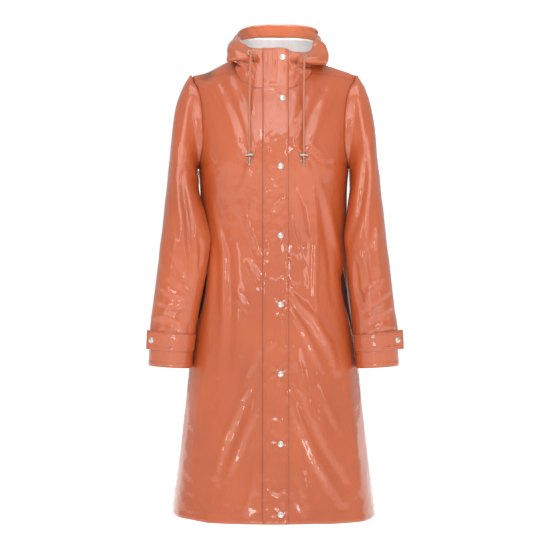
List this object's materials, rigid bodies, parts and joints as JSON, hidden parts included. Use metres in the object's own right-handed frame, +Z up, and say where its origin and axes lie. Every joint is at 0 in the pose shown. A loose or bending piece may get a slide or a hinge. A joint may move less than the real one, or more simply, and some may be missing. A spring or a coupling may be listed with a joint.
{
  "type": "hooded raincoat",
  "caption": "Knee-length glossy hooded raincoat with a snapped storm flap, side pockets, cuff straps and hood drawcords, filled out as worn.",
  "frame": {"origin": "middle of the line between the shoulders, where the wearer carries the coat", "axes": "+X the viewer's right with the coat seen from the front, -Y the front, +Z up"},
  "size_m": [0.5847, 0.3386, 1.1395],
  "materials": {
    "coat_cloth": "woven cloth with a glossy coating",
    "hood_lining_cloth": "smooth matte cloth",
    "pocket_cloth": "matte cloth",
    "cord_cloth": "braided cord",
    "fittings_metal": "satin polish"
  },
  "bodies": {
    "root": {"front_left": "coat_cloth", "front_right": "coat_cloth", "back": "coat_cloth", "yoke": "coat_cloth", "sleeve_left": "coat_cloth", "sleeve_right": "coat_cloth", "cuff_strap_left": "coat_cloth", "cuff_strap_right": "coat_cloth", "placket": "coat_cloth", "hood_side_left": "coat_cloth", "hood_side_right": "coat_cloth", "hood_centre": "coat_cloth", "hood_facing": "coat_cloth", "hood_lining": "hood_lining_cloth", "pocket_bag_left": "pocket_cloth", "pocket_bag_right": "pocket_cloth", "snap_1": "fittings_metal", "snap_2": "fittings_metal", "snap_3": "fittings_metal", "snap_4": "fittings_metal", "snap_5": "fittings_metal", "snap_6": "fittings_metal", "snap_7": "fittings_metal", "snap_8": "fittings_metal", "cuff_snap_left": "fittings_metal", "cuff_snap_right": "fittings_metal", "eyelet_left": "fittings_metal", "eyelet_right": "fittings_metal", "toggle_bar_left": "fittings_metal", "toggle_bar_right": "fittings_metal", "toggle_tip_left": "fittings_metal", "toggle_tip_right": "fittings_metal", "cord_left": "cord_cloth", "cord_right": "cord_cloth"}
  },
  "joints": []
}
